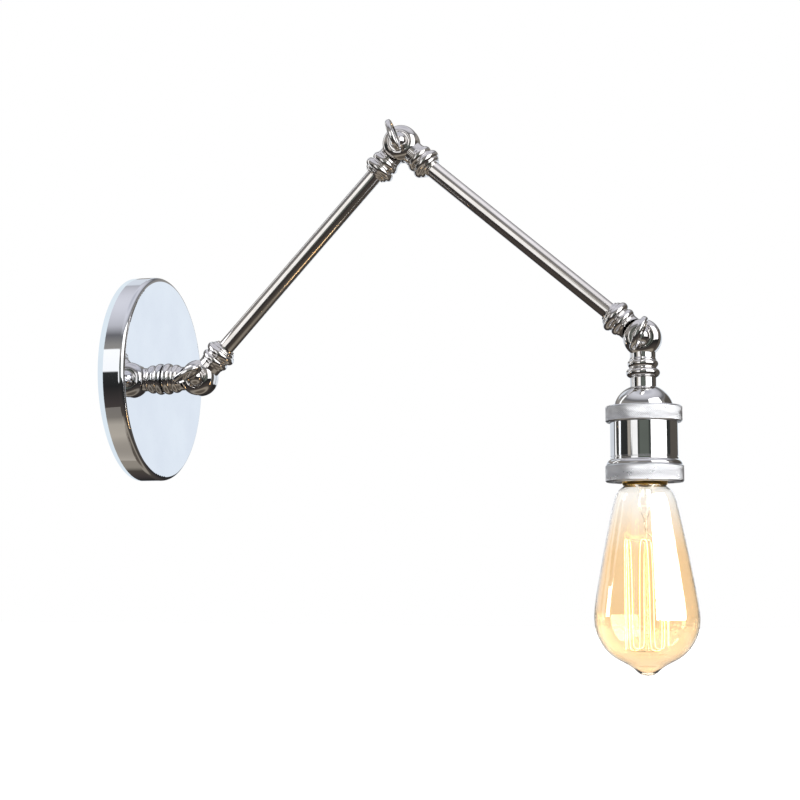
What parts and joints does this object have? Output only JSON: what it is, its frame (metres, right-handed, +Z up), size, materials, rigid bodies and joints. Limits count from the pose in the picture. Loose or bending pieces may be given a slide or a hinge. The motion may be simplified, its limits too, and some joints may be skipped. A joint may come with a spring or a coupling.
{
  "type": "swing arm wall sconce",
  "caption": "Polished swing arm wall sconce with a round canopy, two folding arms on knuckle joints, knurled lamp holder and a teardrop filament bulb.",
  "frame": {"origin": "centre of the mounting crossbar's back face, on the wall plane", "axes": "+X out of the wall, +Z up, knuckle axes along Y, arms in the plane y = 0"},
  "size_m": [0.3429, 0.127, 0.3296],
  "materials": {
    "chrome_plate": "mirror polished",
    "chrome_casting": "polished nickel",
    "chrome_key": "polished",
    "chrome_shell": "polished",
    "nickel_hardware": "polished",
    "satin_tube": "fine satin",
    "knurled_metal": "fine knurl",
    "zinc_steel": "zinc plated",
    "earth_green": "green dye",
    "fibre": "pressed fibre",
    "spring_steel": "oiled",
    "wire_cover": "insulated wire",
    "bakelite": "moulded",
    "brass": "rolled",
    "cap_brass": "rolled, lacquered",
    "cap_glass": "black vitrite",
    "solder": "solder",
    "amber_glass": "amber tint",
    "clear_glass": "clear",
    "support_wire": "nickel wire",
    "filament": "glowing carbon filament, emissive"
  },
  "bodies": {
    "wall_plate": {"backplate": "chrome_plate", "mounting_crossbar": "zinc_steel", "mounting_nipple": "zinc_steel", "crossbar_lock_nut": "zinc_steel", "earth_screw": "earth_green", "swivel_washer": "fibre"},
    "base_stem": {"base_knuckle": "chrome_casting", "base_wires": "wire_cover", "base_cap_nut": "nickel_hardware", "base_friction_washer": "spring_steel"},
    "arm_1": {"arm_1_lower_knuckle": "chrome_casting", "arm_1_tube": "satin_tube", "arm_1_upper_knuckle": "chrome_casting", "arm_1_wires": "wire_cover", "elbow_cap_nut": "nickel_hardware", "elbow_friction_washer": "spring_steel"},
    "arm_2": {"arm_2_upper_knuckle": "chrome_casting", "arm_2_tube": "satin_tube", "arm_2_lower_knuckle": "chrome_casting", "arm_2_wires": "wire_cover", "head_cap_nut": "nickel_hardware", "head_friction_washer": "spring_steel"},
    "lamp_head": {"head_knuckle": "chrome_casting", "dome_cap": "chrome_shell", "dome_lock_nut": "zinc_steel", "socket_shell": "chrome_shell", "socket_insulator": "bakelite", "socket_screw_shell": "brass", "socket_centre_contact": "brass", "socket_terminal_screws": "brass", "socket_wires": "wire_cover"},
    "upper_ring": {"upper_ring": "knurled_metal"},
    "lower_ring": {"lower_ring": "knurled_metal"},
    "bulb": {"bulb_cap": "cap_brass", "bulb_insulator": "cap_glass", "bulb_contact": "solder", "bulb_glass": "amber_glass", "bulb_stem": "clear_glass", "bulb_filament_supports": "support_wire", "bulb_filament": "filament", "bulb_lead_wires": "support_wire"},
    "base_key": {"base_key": "chrome_key"},
    "elbow_key": {"elbow_key": "chrome_key"},
    "head_key": {"head_key": "chrome_key"}
  },
  "joints": [
    {"name": "base_swivel", "type": "hinge", "parent": "wall_plate", "child": "base_stem", "pos_m": [0.0165, 0, 0], "axis": [1, 0, 0], "range_deg": [-90, 90]},
    {"name": "base_tilt", "type": "hinge", "parent": "base_stem", "child": "arm_1", "pos_m": [0.039, 0, 0], "axis": [0, -1, 0], "range_deg": [-137.2, 42.8]},
    {"name": "elbow", "type": "hinge", "parent": "arm_1", "child": "arm_2", "pos_m": [0.16877, 0, 0.14014], "axis": [0, -1, 0], "range_deg": [-1.9, 178.1]},
    {"name": "head_tilt", "type": "hinge", "parent": "arm_2", "child": "lamp_head", "pos_m": [0.31314, 0, 0.01509], "axis": [0, -1, 0], "range_deg": [-40.9, 139.1]},
    {"name": "base_key_turn", "type": "hinge", "parent": "base_stem", "child": "base_key", "pos_m": [0.039, 0, 0], "axis": [0, -1, 0], "range_deg": [0, 180]},
    {"name": "elbow_key_turn", "type": "hinge", "parent": "arm_1", "child": "elbow_key", "pos_m": [0.16877, 0, 0.14014], "axis": [0, -1, 0], "range_deg": [0, 180]},
    {"name": "head_key_turn", "type": "hinge", "parent": "arm_2", "child": "head_key", "pos_m": [0.31314, 0, 0.01509], "axis": [0, -1, 0], "range_deg": [0, 180]},
    {"name": "upper_ring_turn", "type": "hinge", "parent": "lamp_head", "child": "upper_ring", "pos_m": [0.31314, 0, 0.01509], "axis": [0, 0, 1], "range_deg": [-90, 90]},
    {"name": "lower_ring_turn", "type": "hinge", "parent": "lamp_head", "child": "lower_ring", "pos_m": [0.31314, 0, 0.01509], "axis": [0, 0, 1], "range_deg": [-90, 90]},
    {"name": "bulb_unscrew", "type": "slide", "parent": "lamp_head", "child": "bulb", "axis": [0, 0, -1], "range_m": [0, 0.028]}
  ]
}
